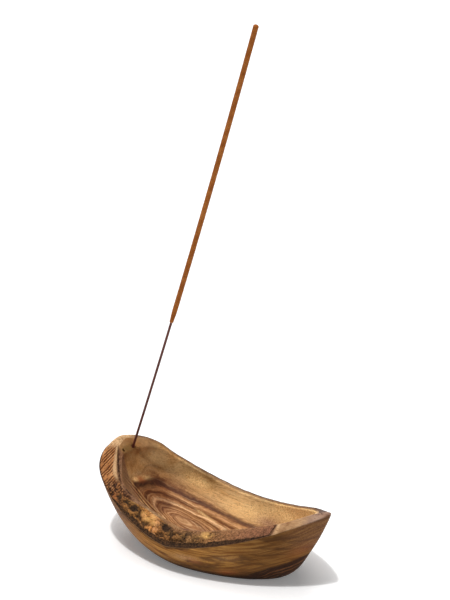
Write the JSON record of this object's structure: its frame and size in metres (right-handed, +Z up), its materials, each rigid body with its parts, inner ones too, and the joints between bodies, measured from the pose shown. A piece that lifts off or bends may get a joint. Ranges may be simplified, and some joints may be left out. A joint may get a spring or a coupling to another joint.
{
  "type": "incense bowl",
  "caption": "Carved wooden boat-shaped bowl with a natural bark edge and a leaning incense stick in a blind hole.",
  "frame": {"origin": "middle of the bowl's outline from above, on the surface that the bowl stands on", "axes": "+Z up, +X from the round heel to the pointed tip, -Y the near side with the bark edge"},
  "size_m": [0.13, 0.0632, 0.2751],
  "materials": {
    "wood": "smooth oiled, strongly figured",
    "bark": "rough and crumbly",
    "bamboo": "smooth, stained dark red-brown",
    "incense": "matt pressed powder"
  },
  "bodies": {
    "bowl": {"bowl": "wood", "bark_crust": "bark"},
    "stick": {"bamboo_core": "bamboo", "incense_paste": "incense"}
  },
  "joints": [
    {"name": "stick_slide", "type": "slide", "parent": "bowl", "child": "stick", "axis": [0.3271, -0.0344, 0.9444], "range_m": [0, 0.0037]}
  ]
}
